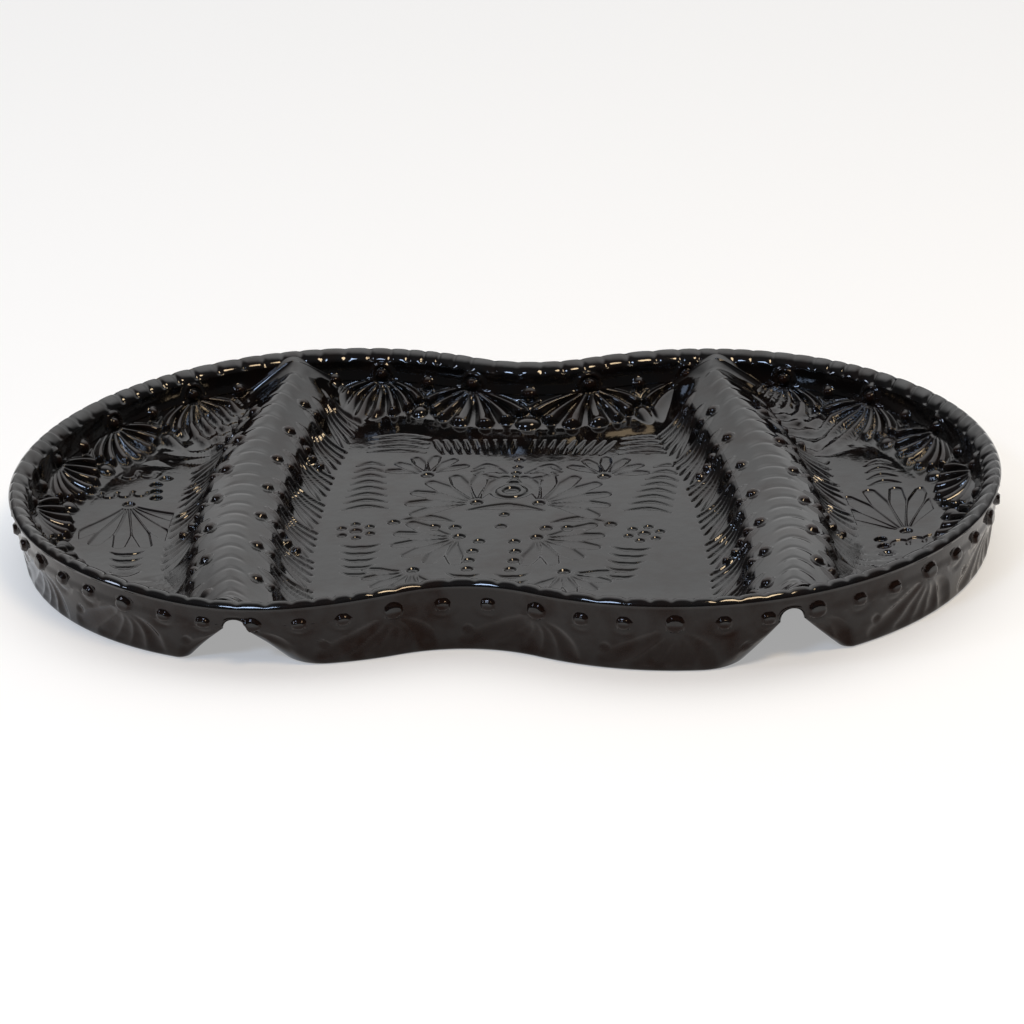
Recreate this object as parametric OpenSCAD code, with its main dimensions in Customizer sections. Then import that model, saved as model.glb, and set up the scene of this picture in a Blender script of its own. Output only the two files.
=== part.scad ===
// Three-part stoneware olive dish: three shallow trays stand side by side,
// bridged by two hollow rope-crested dividers and bound by one rolled rim band.
// Origin: centre of the outline, on the table. X runs along the dish, Y to its back, Z up.

/* [Outline] */
// Length over the rim
dish_length = 280; // [240:1:330]
// Width over each round end, which is the diameter of that end
dish_width = 175; // [160:1:190]
// Radius of the hollow at the waist, which runs into both round ends
waist_radius = 43; // [25:1:120]

/* [Walls] */
// Height of the rim above the table
dish_height = 22; // [19:0.5:32]
// Thickness of the walls
wall_thickness = 5.5; // [4:0.25:7]
// How far the wall's foot stands in from the rim
wall_flare = 3; // [0:0.5:8]
// Angle from upright at which the inside of the wall slopes
wall_slope = 20; // [4:1:28]
// Thickness of the floors
floor_thickness = 4.5; // [3.5:0.5:7]
// Radius of the hollow between wall and floor
wall_cove = 12; // [4:0.5:14]
// Radius of the bottom edges
foot_round = 1; // [0.5:0.25:4]

/* [Rim] */
// Height of the rim band over the seat, where the trays end
rim_band_height = 9; // [7:0.5:11]
// Height of the rounded lip
lip_height = 3; // [2:0.25:4]
// How far the lip rolls out over the wall
lip_roll = 0.6; // [0:0.1:1.5]

/* [Dividers] */
// Distance of the left crest from the left tip of the dish
left_tray_length = 66; // [58:0.5:76]
// Distance of the right crest from the right tip of the dish
right_tray_length = 62.5; // [58:0.5:76]
// Radius of the arc that each divider follows
divider_radius = 450; // [250:5:900]
// Turn of the left divider away from square across the dish
left_lean = 3.5; // [0:0.5:12]
// Turn of the right divider away from square across the dish
right_lean = 11; // [0:0.5:12]
// Slope of the flanks above the floor
flank_angle = 55; // [45:1:75]
// Gap between two trays at the top of the tunnel under a divider
tunnel_top = 6; // [2:0.5:10]
// Height to which a tunnel's round mouth is cut into the rim band, over the seat
notch_rise = 3.5; // [1:0.25:4.5]
// Radius of the hollow between flank and floor
flank_cove = 12; // [4:0.5:14]
// Rise of the crest over the seat at the middle of the dish
crest_rise = 2; // [1.5:0.25:5]
// Rise of the crest over the seat where it runs into the rim
crest_end_rise = 6; // [2:0.25:7]
// Radius of the trays' inner corners
corner_radius = 9; // [5:0.5:13]
// Radius of the middle tray's corners at the foot, where the tunnels come out
middle_corner = 12; // [3:0.5:13]
// Radius of the end trays' corners at the foot
end_corner = 2.5; // [2:0.5:13]
// Radius to which these corners sharpen at the seat
mouth_corner = 1.5; // [0.5:0.25:3]
// Clearance of the luted joint between crest and rim
lute_gap = 0.1; // [0.05:0.05:0.3]

/* [Palmettes] */
// Distance from one palmette to the next on the inside of the walls, measured along the rim
palmette_pitch = 32; // [24:1:48]
// Rise of the palmettes from the wall
palmette_rise = 1.3; // [0.5:0.1:1.5]

/* [Hidden] */

glaze_black = [0.10, 0.09, 0.09];

// Steps along each stretch of an outline, down a wall and round the lip
end_steps = 36;
corner_steps = 6;
flank_steps = 6;
waist_steps = 22;
cove_steps = 8;
foot_steps = 3;
rim_end_steps = 30;
rim_waist_steps = 6;
lip_steps = 6;
crest_steps = 8;
notch_steps = 8;
bar_steps = 12;

// Centres and radii of the arcs that make the outline
end_radius = dish_width / 2;
end_x = dish_length / 2 - end_radius;
end_centre = [end_x, 0];
waist_centre = [0, sqrt(pow(end_radius + waist_radius, 2) - end_x * end_x)];
// Direction, seen from an end's centre, in which its arc passes into the waist
waist_turn = direction(waist_centre - end_centre);

// Length of a quarter of the rim, and the space that each palmette has on it
quarter_run = (waist_turn * end_radius + (waist_turn - 90) * waist_radius) * PI / 180;
palmette_space = quarter_run / max(1, round(quarter_run / palmette_pitch));
// Lobes of a palmette, and how deep it dips between them as a share of its rise
palmette_lobes = 3;
lobe_dip = 0.6;
// Depth over which the palmettes fade where a wall turns into a corner
palmette_fade = 1.5;

// Lean and place of each divider: the left one is seen with the dish turned round
left_divider = [left_lean, dish_length / 2 - left_tray_length];
right_divider = [right_lean, dish_length / 2 - right_tray_length];

// Level of the seat, where the trays end and the rim band and the crests begin
seat_height = dish_height - rim_band_height;
// Run of wall and flank for each millimetre that they drop
wall_run = wall_flare / dish_height;
inner_run = tan(wall_slope);
flank_run = 1 / tan(flank_angle);
// Half width of a divider's tunnel and of the whole divider at the seat
tunnel_half = tunnel_top / 2;
land_half = tunnel_half + wall_thickness / sin(flank_angle);
// Inset of the wall's two faces from the rim, at the seat
seat_out = wall_run * (dish_height - seat_height);
seat_in = seat_out + wall_thickness;
// Largest corner of an end tray as a share of the room between its flank and its tip
corner_share = 0.37;
// Stock below each tray's base, taken off when the base is ground flat
stock = 1;
// Power by which the rows of a crest bend towards the rim, and power of its rounded section
row_bend = 3;
crest_round = 2.4;
// Height at which the lip begins
lip_z = dish_height - lip_height;

function direction(v) = atan2(v[1], v[0]);
function polar(centre, r, a) = centre + r * [cos(a), sin(a)];
function mix(a, b, t) = a + (b - a) * t;
function but_last(list) = [for (i = [0 : len(list) - 2]) list[i]];
function backwards(list) = [for (i = [len(list) - 1 : -1 : 0]) list[i]];
function across(list) = [for (p = list) [-p[0], p[1]]];
function raised(loop, z) = [for (p = loop) [p[0], p[1], z]];

// Points on an arc from one angle to another, without the last one
function arc(centre, r, from, to, steps) =
    [for (i = [0 : steps - 1]) polar(centre, r, mix(from, to, i / steps))];

// Where two circles meet: on the left of the way from the first to the second if side is 1
function circles_meet(c1, r1, c2, r2, side) =
    let (
        way = c2 - c1,
        d = norm(way),
        along = (d * d + r1 * r1 - r2 * r2) / (2 * d),
        off = sqrt(max(0, r1 * r1 - along * along))
    )
    c1 + way * (along / d) + [-way[1], way[0]] * (side * off / d);

// Distance to go along the inset outline from one end's arc to the waist, and the point there
function run_to_waist(inset, from) = max(0, waist_turn - from) * (end_radius - inset);
function outline_at(inset, from, q) =
    q < run_to_waist(inset, from)
        ? polar(end_centre, end_radius - inset, from + q / (end_radius - inset))
        : polar(waist_centre, waist_radius + inset,
            waist_turn - 180 - (q - run_to_waist(inset, from)) / (waist_radius + inset));

// Run of a face that slopes down from the seat and curves into the floor
function coved(z, start, run, radius) =
    let (
        slope = atan(run),
        centre_z = floor_thickness + radius,
        centre_s = start + run * (seat_height - centre_z) + radius / cos(slope),
        drop = centre_z - z
    )
    z >= centre_z - radius * sin(slope)
        ? start + run * (seat_height - z)
        : centre_s - sqrt(max(0, radius * radius - drop * drop));

// Rounding that takes a face in at its bottom edge
function footed(z) =
    z >= foot_round ? 0 : foot_round - sqrt(foot_round * foot_round - pow(foot_round - z, 2));

// Inset of the walls from the rim, and distance of the flanks from the divider's arc
function wall_inside(z) = coved(z, seat_in, inner_run, wall_cove);
function flank_inside(z) = coved(z, land_half, flank_run, flank_cove);
function wall_outside(z) = wall_run * (dish_height - z) + footed(z);
function flank_outside(z) = tunnel_half + flank_run * (seat_height - z) + footed(z);

// Radius at one level of an outside corner, which sharpens evenly from the foot to the seat
function outer_corner(z, corner) =
    mix(corner, mouth_corner, max(0, (z - foot_round) / (seat_height - foot_round)));

// Radius of an end tray's inner corners at one level, which shrinks with the room on its floor
function end_tray_corner(z, divider) =
    let (room = dish_length / 2 - divider[1] - wall_inside(z) - flank_inside(z))
    min(corner_radius, corner_share * room);

// Centre of the arc of a divider on the right, and that divider mirrored front to back
function divider_centre(divider) =
    [divider[1] - divider_radius * cos(divider[0]), -divider_radius * sin(divider[0])];
function mirrored(divider) = [-divider[0], divider[1]];

// Flank and back corner of the middle tray, from the long axis to the wall
function middle_side(inset, flank, corner, divider) =
    let (
        arc_centre = divider_centre(divider),
        reach = divider_radius - flank,
        on_end = circles_meet(end_centre, end_radius - inset - corner, arc_centre, reach - corner, -1),
        on_waist = circles_meet(arc_centre, reach - corner,
            waist_centre, waist_radius + inset + corner, -1),
        meets_end = direction(on_end - end_centre) <= waist_turn,
        centre = meets_end ? on_end : on_waist,
        flank_turn = direction(centre - arc_centre),
        wall_turn = meets_end ? direction(centre - end_centre) : direction(waist_centre - centre)
    )
    concat(
        arc(arc_centre, reach, divider[0], flank_turn, flank_steps),
        arc(centre, corner, flank_turn, wall_turn, corner_steps),
        [polar(centre, corner, wall_turn)]
    );

// The same for the tray at the right-hand end
function end_side(inset, flank, corner, divider) =
    let (
        arc_centre = divider_centre(divider),
        reach = divider_radius + flank,
        centre = circles_meet(end_centre, end_radius - inset - corner, arc_centre, reach + corner, -1),
        flank_turn = direction(centre - arc_centre),
        wall_turn = direction(centre - end_centre)
    )
    concat(
        arc(arc_centre, reach, divider[0], flank_turn, flank_steps),
        arc(centre, corner, flank_turn + 180, wall_turn, corner_steps),
        [polar(centre, corner, wall_turn)]
    );

// Distance along the inset outline from an angle at the end's centre to a point on it
function outline_to(inset, from, p) =
    let (turn = direction(p - end_centre))
    turn <= waist_turn
        ? (turn - from) * (end_radius - inset)
        : run_to_waist(inset, from)
            + (waist_turn - 180 - direction(p - waist_centre)) * (waist_radius + inset);

// A quarter of the middle tray's outline, from the long axis to the middle of the waist
function middle_quarter(inset, flank, corner, divider) =
    let (
        side = middle_side(inset, flank, corner, divider),
        start = outline_to(inset, 0, side[len(side) - 1]),
        end = run_to_waist(inset, 0) + (waist_turn - 90) * (waist_radius + inset)
    )
    concat(
        but_last(side),
        [for (i = [0 : waist_steps]) outline_at(inset, 0, mix(start, end, i / waist_steps))]
    );

// Back half of the middle tray's outline, from one divider to the other
function middle_half(inset, flank, corner, first, last) =
    concat(
        but_last(middle_quarter(inset, flank, corner, first)),
        but_last(backwards(across(middle_quarter(inset, flank, corner, mirrored(last)))))
    );

// Outline of the middle tray at one level, anticlockwise from the right
function middle_loop(inset, flank, corner) =
    concat(
        middle_half(inset, flank, corner, right_divider, left_divider),
        -middle_half(inset, flank, corner, left_divider, right_divider)
    );

// Half of the outline of an end tray, seen at the right, from the tip to its flank
function end_half(inset, flank, corner, divider) =
    let (
        side = end_side(inset, flank, corner, divider),
        last = direction(side[len(side) - 1] - end_centre)
    )
    concat(arc(end_centre, end_radius - inset, 0, last, end_steps), backwards(side));

// Outline of an end tray at one level, anticlockwise from the tip
function end_loop(inset, flank, corner, divider) =
    concat(
        but_last(end_half(inset, flank, corner, divider)),
        but_last(backwards(-across(end_half(inset, flank, corner, mirrored(divider)))))
    );

// A point taken to the back right quarter, and whether it lies beside an end or beside the waist
function quartered(p) = [abs(p[0]), abs(p[1])];
function by_end(p) = direction(quartered(p) - end_centre) <= waist_turn;

// Distance along the rim from the nearer tip to a point, and how far inside the rim that point lies
function rim_run(p) =
    let (q = quartered(p))
    (by_end(p)
        ? direction(q - end_centre) * end_radius
        : waist_turn * end_radius + (waist_turn - direction(waist_centre - q)) * waist_radius) * PI / 180;
function rim_inset(p) =
    by_end(p)
        ? end_radius - norm(quartered(p) - end_centre)
        : norm(quartered(p) - waist_centre) - waist_radius;

// Way from the wall to the inside of the dish
function inwards(p) =
    let (
        q = quartered(p),
        way = by_end(p) ? end_centre - q : q - waist_centre
    )
    [sign(p[0]) * way[0], sign(p[1]) * way[1]] / norm(way);

// Rise of the palmettes at a point of the wall: each one hangs from the seat and fades out on the floor
function palmette_at(p, inset, z) =
    let (
        place = rim_run(p) / palmette_space,
        side = 2 * (place - floor(place)) - 1,
        fan = cos(90 * side) * (1 - lobe_dip / 2 * (1 - cos(180 * palmette_lobes * side))),
        drop = (seat_height - z) / (seat_height - floor_thickness),
        fade = max(0, 1 - (rim_inset(p) - inset) / palmette_fade)
    )
    palmette_rise * fan * sin(180 * drop) * fade;
function pressed(loop, z) =
    [for (p = loop) p + palmette_at(p, wall_inside(z), z) * inwards(p)];

// Outline of the whole dish at one inset, anticlockwise from the tip
function rim_loop(inset) =
    let (
        last = (waist_turn - 90) * (waist_radius + inset),
        first = run_to_waist(inset, 0),
        quarter = concat(
            arc(end_centre, end_radius - inset, 0, waist_turn, rim_end_steps),
            [for (i = [0 : rim_waist_steps]) outline_at(inset, 0, first + last * i / rim_waist_steps)]
        ),
        half = concat(but_last(quarter), but_last(backwards(across(quarter))))
    )
    concat(half, -half);

// Levels of the rings up the outside of a tray and down its inside
outer_levels = concat(
    [for (i = [0 : foot_steps]) foot_round * (1 - cos(90 * i / foot_steps))],
    [seat_height]
);
inner_levels = [
    for (i = [cove_steps : -1 : 0])
        floor_thickness + (seat_height - floor_thickness) * (1 - cos(90 * i / cove_steps))
];

// Skin over rings of equal length: capped at both ends, or else closed on itself
module skin(rings, caps) {
    n = len(rings[0]);
    last = len(rings) - 1;
    bands = caps == [] ? last : last - 1;
    sides = [
        for (k = [0 : bands])
            for (i = [0 : n - 1])
                let (j = (i + 1) % n, a = k * n, b = ((k + 1) % (last + 1)) * n)
                    each [[a + i, b + i, b + j], [a + i, b + j, a + j]]
    ];
    middle = (last + 1) * n;
    ends = caps == [] ? [] : [
        for (i = [0 : n - 1])
            let (j = (i + 1) % n)
                each [[middle, i, j], [middle + 1, last * n + j, last * n + i]]
    ];
    polyhedron(points = concat([for (ring = rings) each ring], caps), faces = concat(sides, ends));
}

// Grinds the base flat: what hangs below the table comes off
module ground() {
    intersection() {
        children();
        translate([-dish_length, -dish_width, 0])
            cube([2 * dish_length, 2 * dish_width, dish_height]);
    }
}

// One tray standing on its flat base: a slab floor, coved inside, with walls all round
module middle_shell() {
    outer = [
        for (z = outer_levels)
            raised(middle_loop(wall_outside(z), flank_outside(z), outer_corner(z, middle_corner)), z)
    ];
    inner = [
        for (z = inner_levels)
            raised(pressed(middle_loop(wall_inside(z), flank_inside(z), corner_radius), z), z)
    ];
    ground()
        skin(concat([raised(outer[0], -stock)], outer, inner), [[0, 0, -stock], [0, 0, floor_thickness]]);
}

module end_shell(divider) {
    outer = [
        for (z = outer_levels)
            let (corner = outer_corner(z, end_corner))
                raised(end_loop(wall_outside(z), flank_outside(z), corner, divider), z)
    ];
    inner = [
        for (z = inner_levels)
            let (corner = end_tray_corner(z, divider))
                raised(pressed(end_loop(wall_inside(z), flank_inside(z), corner, divider), z), z)
    ];
    // Every outline of this tray can be seen whole from this point
    heart = divider[1] / 2 + dish_length / 4;
    ground()
        skin(concat([raised(outer[0], -stock)], outer, inner),
            [[heart, 0, -stock], [heart, 0, floor_thickness]]);
}

// Plan of half a crest, in rows from the long axis to the wall: each row runs straight across
// the divider, and bends towards the end to lie along the inside of the rim
function crest_plan(divider) =
    let (
        inset = seat_in + lute_gap,
        near = middle_side(inset, land_half, corner_radius, divider),
        far = end_side(inset, land_half, end_tray_corner(seat_height, divider), divider),
        last = len(near) - 1,
        start = direction(far[last] - end_centre),
        reach = outline_to(inset, start, near[last])
    )
    [
        for (i = [0 : last])
            [
                for (j = [0 : crest_steps])
                    let (t = j / crest_steps)
                        mix(far[i], near[i], t) + pow(i / last, row_bend)
                            * (outline_at(inset, start, reach * t) - mix(far[last], near[last], t))
            ]
    ];

// Saddle that bridges two trays: its edges follow the trays, its ends the inside of the rim
module crest_shell(divider) {
    back = crest_plan(divider);
    front = crest_plan(mirrored(divider));
    rows = len(back) - 1;
    m = crest_steps;
    full = concat([for (i = [rows : -1 : 1]) -across(front[i])], back);
    top = [
        for (i = [0 : 2 * rows])
            let (
                t = abs(i - rows) / rows,
                rise = mix(crest_rise, crest_end_rise, t * t * (3 - 2 * t))
            )
            [
                for (j = [0 : m])
                    [full[i][j][0], full[i][j][1],
                        seat_height + rise * (1 - pow(abs(2 * j / m - 1), crest_round))]
            ]
    ];
    base = [for (row = full) raised([for (j = [1 : m - 1]) row[j]], seat_height)];
    // The edges are shared, so the under side has only the points between them
    w = m + 1;
    under = (2 * rows + 1) * w;
    points = concat([for (row = top) each row], [for (row = base) each row]);
    function at_top(i, j) = i * w + j;
    function at_base(i, j) = j == 0 || j == m ? i * w + j : under + i * (m - 1) + j - 1;
    covers = [
        for (i = [0 : 2 * rows - 1])
            for (j = [0 : m - 1])
                each [
                    [at_top(i, j), at_top(i, j + 1), at_top(i + 1, j + 1)],
                    [at_top(i, j), at_top(i + 1, j + 1), at_top(i + 1, j)],
                    [at_base(i, j), at_base(i + 1, j + 1), at_base(i, j + 1)],
                    [at_base(i, j), at_base(i + 1, j), at_base(i + 1, j + 1)]
                ]
    ];
    tips = [
        for (j = [0 : m - 1])
            each [
                [at_top(0, j), at_base(0, j), at_base(0, j + 1)],
                [at_top(0, j), at_base(0, j + 1), at_top(0, j + 1)],
                [at_top(2 * rows, j), at_base(2 * rows, j + 1), at_base(2 * rows, j)],
                [at_top(2 * rows, j), at_top(2 * rows, j + 1), at_base(2 * rows, j + 1)]
            ]
    ];
    // Where top and base share a point the tip's triangle has no area and is left out
    closed = [for (f = tips) if (f[0] != f[1] && f[1] != f[2] && f[0] != f[2]) f];
    polyhedron(points = points, faces = concat(covers, closed));
}

// Bar with the section of a tunnel's round mouth, along the whole arc of a divider
module notch_bar(divider) {
    reach = asin(end_radius / divider_radius);
    low = seat_height - stock;
    section = concat(
        [[-tunnel_half, low]],
        [
            for (i = [0 : notch_steps])
                let (a = 180 * i / notch_steps)
                    [-tunnel_half * cos(a), seat_height + notch_rise * sin(a)]
        ],
        [[tunnel_half, low]]
    );
    function at(s, t) =
        let (p = polar(divider_centre(divider), divider_radius + s[0], divider[0] + reach * t))
        [p[0], p[1], s[1]];
    rings = [
        for (i = [0 : bar_steps])
            [for (s = section) at(s, 2 * i / bar_steps - 1)]
    ];
    skin(rings, [at([0, seat_height], -1), at([0, seat_height], 1)]);
}

// Upper wall and rolled lip, all round the dish
module rim_shell() {
    section = concat(
        [[seat_out, seat_height], [max(lip_roll, wall_run * lip_height), lip_z - lip_roll]],
        [
            for (i = [0 : lip_steps])
                let (a = 180 * i / lip_steps)
                    [seat_in / 2 * (1 - cos(a)), lip_z + lip_height * sin(a)]
        ],
        [[seat_in, seat_height]]
    );
    difference() {
        skin([for (s = section) raised(rim_loop(s[0]), s[1])], []);
        notch_bar(right_divider);
        rotate([0, 0, 180]) notch_bar(left_divider);
    }
}

module left_tray() color(glaze_black) rotate([0, 0, 180]) end_shell(left_divider);
module middle_tray() color(glaze_black) middle_shell();
module right_tray() color(glaze_black) end_shell(right_divider);
module left_crest() color(glaze_black) rotate([0, 0, 180]) crest_shell(left_divider);
module right_crest() color(glaze_black) crest_shell(right_divider);
module rim_band() color(glaze_black) rim_shell();

left_tray();
middle_tray();
right_tray();
left_crest();
right_crest();
rim_band();
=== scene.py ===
import math

import bpy
import numpy as np
from mathutils import Matrix, Vector


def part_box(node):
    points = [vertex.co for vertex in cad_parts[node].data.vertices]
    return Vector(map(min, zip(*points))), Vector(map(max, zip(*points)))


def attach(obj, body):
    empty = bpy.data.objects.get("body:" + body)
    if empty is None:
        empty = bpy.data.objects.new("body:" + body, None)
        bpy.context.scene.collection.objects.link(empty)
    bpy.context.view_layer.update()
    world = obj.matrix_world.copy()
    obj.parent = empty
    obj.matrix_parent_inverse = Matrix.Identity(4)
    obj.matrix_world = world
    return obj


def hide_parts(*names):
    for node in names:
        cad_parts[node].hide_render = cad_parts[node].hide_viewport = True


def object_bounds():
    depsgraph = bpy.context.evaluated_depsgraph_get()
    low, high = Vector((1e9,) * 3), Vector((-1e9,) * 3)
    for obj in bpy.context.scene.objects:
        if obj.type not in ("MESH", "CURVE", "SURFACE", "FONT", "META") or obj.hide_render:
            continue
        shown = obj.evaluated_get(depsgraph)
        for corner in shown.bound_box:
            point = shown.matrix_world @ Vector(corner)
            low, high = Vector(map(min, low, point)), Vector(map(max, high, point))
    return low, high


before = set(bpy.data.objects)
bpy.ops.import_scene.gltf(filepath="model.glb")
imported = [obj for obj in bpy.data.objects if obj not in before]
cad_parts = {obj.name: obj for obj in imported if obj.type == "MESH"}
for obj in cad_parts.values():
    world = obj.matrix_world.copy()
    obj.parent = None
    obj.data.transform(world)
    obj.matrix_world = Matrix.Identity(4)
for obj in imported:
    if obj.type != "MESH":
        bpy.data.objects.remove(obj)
cadLow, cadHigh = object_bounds()
mm = 0.001  # metres in a millimetre
print("frame loaded:", ", ".join(sorted(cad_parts)))

# Sizes of the dish in mm: the overall ones come from the frame, the rest are those of the pressed clay
dish = {
    "length": (cadHigh.x - cadLow.x) / mm,
    "width": (cadHigh.y - cadLow.y) / mm,
    "height": (cadHigh.z - cadLow.z) / mm,
    "seat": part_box("rim_band")[0].z / mm,  # level at which the trays end
    "waistRadius": 43.0,
    "wall": 5.5,
    "flare": 3.0,  # how far the foot stands in from the rim
    "wallSlope": 20.0,  # degrees from upright, on the inside
    "floor": 4.5,
    "cove": 12.0,
    "foot": 1.0,
    "corner": 9.0,
    "seatCorner": 3.0,  # the inner corners tighten towards the crests
    "middleCorner": 12.0,
    "endCorner": 2.5,
    "mouthCorner": 0.5,  # at the notch's arch
    "cornerShare": 0.37,
    "lipZ": 19.0,
    "lipRun": 0.08,  # how far the inside still runs in at the lip, for each mm of height
}
divider = {
    "radius": 450.0,
    "flankAngle": 55.0,
    "tunnelTop": 6.0,
    "rise": 2.0,  # of the crest over the seat, in the middle
    "endRise": 6.0,
    "archRise": 3.5,  # of the tunnel's round top over the seat, cut into the rim band
    "shoulder": 0.6,  # how far the roll of the crest runs on over the flank
    "shoulderDrop": 1.2,
    "right": (math.radians(11.0), dish["length"] / 2 - 62.5),  # lean, place on the long axis
    "left": (math.radians(3.5), dish["length"] / 2 - 66.0),
}
grain = {"flank": 180, "corner": 24, "waist": 160, "end": 320, "cove": 50, "foot": 4, "wall": 20,
         "rimEnd": 360, "rimWaist": 40, "lip": 28, "across": 56, "into": 6,
         "band": 14}  # steps that give about 0.4 mm along the walls

seat = dish["seat"]
floorZ = dish["floor"]
endRadius = dish["width"] / 2
endX = dish["length"] / 2 - endRadius
endCentre = np.array([endX, 0.0])
waistRadius = dish["waistRadius"]
waistCentre = np.array([0.0, math.sqrt((endRadius + waistRadius) ** 2 - endX ** 2)])
waistTurn = math.atan2(waistCentre[1], -endX)
quarterRun = waistTurn * endRadius + (waistTurn - math.pi / 2) * waistRadius
wholeRun = 4 * quarterRun  # once round the rim
wallRun = dish["flare"] / dish["height"]
innerRun = math.tan(math.radians(dish["wallSlope"]))
flankRun = 1 / math.tan(math.radians(divider["flankAngle"]))
tunnelHalf = divider["tunnelTop"] / 2
landHalf = tunnelHalf + dish["wall"] / math.sin(math.radians(divider["flankAngle"]))
seatOut = wallRun * (dish["height"] - seat)
seatIn = seatOut + dish["wall"]


def direction(v):
    return math.atan2(v[1], v[0])


def polar(centre, radius, angle):
    return np.stack([centre[0] + radius * np.cos(angle), centre[1] + radius * np.sin(angle)], -1)


def arc(centre, radius, start, end, steps):
    return polar(centre, radius, np.linspace(start, end, steps, endpoint=False))


def towards(degrees):
    angle = math.radians(degrees)
    return np.array([math.cos(angle), math.sin(angle)])


def bow(centre, radius, start, end, count):
    return polar(centre, radius, np.radians(np.linspace(start, end, count)))


def smooth(t):
    t = np.clip(t, 0.0, 1.0)
    return t * t * (3 - 2 * t)


def circlesMeet(c1, r1, c2, r2):
    way = c2 - c1
    gap = np.linalg.norm(way)
    along = (gap * gap + r1 * r1 - r2 * r2) / (2 * gap)
    off = math.sqrt(max(0.0, r1 * r1 - along * along))
    return c1 + way * (along / gap) + np.array([way[1], -way[0]]) * (off / gap)


# The outline: two round ends and the hollow of the waist
def runToWaist(inset, start):
    return max(0.0, waistTurn - start) * (endRadius - inset)


def outlineAt(inset, start, run):
    onEnd = runToWaist(inset, start)
    ends = polar(endCentre, endRadius - inset, start + run / (endRadius - inset))
    turn = waistTurn - math.pi - (run - onEnd) / (waistRadius + inset)
    return np.where((run < onEnd)[:, None], ends, polar(waistCentre, waistRadius + inset, turn))


def outlineTo(inset, start, p):
    turn = direction(p - endCentre)
    if turn <= waistTurn:
        return (turn - start) * (endRadius - inset)
    return runToWaist(inset, start) + (waistTurn - direction(waistCentre - p)) * (waistRadius + inset)


def wallPlace(x, y):
    # how far round the rim a point lies, from the right tip towards the back, and how far inside the rim
    side = np.where(x >= 0, 1.0, -1.0)
    px, py = x * side, y * side
    back = np.where(py >= 0, 1.0, -1.0)
    py = py * back
    turn = np.arctan2(py, px - endX)
    bend = np.arctan2(waistCentre[1] - py, -px)
    onEnd = turn <= waistTurn
    run = np.where(onEnd, turn * endRadius, waistTurn * endRadius + (waistTurn - bend) * waistRadius)
    insideEnd = endRadius - np.hypot(px - endX, py)
    insideWaist = np.hypot(px, py - waistCentre[1]) - waistRadius
    run = run * back
    run = np.where(side > 0, run, np.where(run > 0, run - wholeRun / 2, run + wholeRun / 2))
    return run, np.where(onEnd, insideEnd, insideWaist)


# Faces of wall and flank at a level
def coved(z, start, run, radius):
    slope = math.atan(run)
    centreZ = floorZ + radius
    centreS = start + run * (seat - centreZ) + radius / math.cos(slope)
    if z >= centreZ - radius * math.sin(slope):
        return start + run * (seat - z)
    return centreS - math.sqrt(max(0.0, radius ** 2 - (centreZ - z) ** 2))


def footed(z):
    foot = dish["foot"]
    return 0.0 if z >= foot else foot - math.sqrt(foot ** 2 - (foot - z) ** 2)


def wallInside(z):
    return coved(z, seatIn, innerRun, dish["cove"])


def flankInside(z):
    drop = seat - z
    shoulder = divider["shoulder"] * (1 - math.exp(-drop / divider["shoulderDrop"]))
    return coved(z, landHalf, flankRun, dish["cove"]) + shoulder * (1 - drop / (seat - floorZ))


def wallOutside(z):
    return wallRun * (dish["height"] - z) + footed(z)


def flankOutside(z):
    return tunnelHalf + flankRun * (seat - z) + footed(z)


def innerCorner(z):
    tight = dish["seatCorner"]
    return tight + (dish["corner"] - tight) * float(smooth((seat - z) / (seat - floorZ)))


def endTrayCorner(z, place):
    room = dish["length"] / 2 - place[1] - wallInside(z) - coved(z, landHalf, flankRun, dish["cove"])
    return min(innerCorner(z), dish["cornerShare"] * room)


def notchCorner(z, corner):
    share = max(0.0, (z - dish["foot"]) / (seat - dish["foot"]))
    return corner + (dish["mouthCorner"] - corner) * share  # the notch's edge sharpens towards its arch


# Outlines of the trays at one level
def dividerCentre(place):
    lean, x = place
    return np.array([x - divider["radius"] * math.cos(lean), -divider["radius"] * math.sin(lean)])


def mirrored(place):
    return -place[0], place[1]


def middleSide(inset, flank, corner, place):
    centre = dividerCentre(place)
    reach = divider["radius"] - flank
    onEnd = circlesMeet(endCentre, endRadius - inset - corner, centre, reach - corner)
    onWaist = circlesMeet(centre, reach - corner, waistCentre, waistRadius + inset + corner)
    meetsEnd = direction(onEnd - endCentre) <= waistTurn
    middle = onEnd if meetsEnd else onWaist
    flankTurn = direction(middle - centre)
    wallTurn = direction(middle - endCentre) if meetsEnd else direction(waistCentre - middle)
    return np.concatenate([
        arc(centre, reach, place[0], flankTurn, grain["flank"]),
        arc(middle, corner, flankTurn, wallTurn, grain["corner"]),
        [polar(middle, corner, wallTurn)],
    ])


def endSide(inset, flank, corner, place):
    centre = dividerCentre(place)
    reach = divider["radius"] + flank
    middle = circlesMeet(endCentre, endRadius - inset - corner, centre, reach + corner)
    flankTurn = direction(middle - centre)
    wallTurn = direction(middle - endCentre)
    return np.concatenate([
        arc(centre, reach, place[0], flankTurn, grain["flank"]),
        arc(middle, corner, flankTurn + math.pi, wallTurn, grain["corner"]),
        [polar(middle, corner, wallTurn)],
    ])


def middleQuarter(inset, flank, corner, place):
    side = middleSide(inset, flank, corner, place)
    start = outlineTo(inset, 0.0, side[-1])
    end = runToWaist(inset, 0.0) + (waistTurn - math.pi / 2) * (waistRadius + inset)
    return np.concatenate([side[:-1], outlineAt(inset, 0.0, np.linspace(start, end, grain["waist"] + 1))])


def middleHalf(inset, flank, corner, first, last):
    left = middleQuarter(inset, flank, corner, mirrored(last)) * [-1, 1]
    return np.concatenate([middleQuarter(inset, flank, corner, first)[:-1], left[::-1][:-1]])


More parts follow.
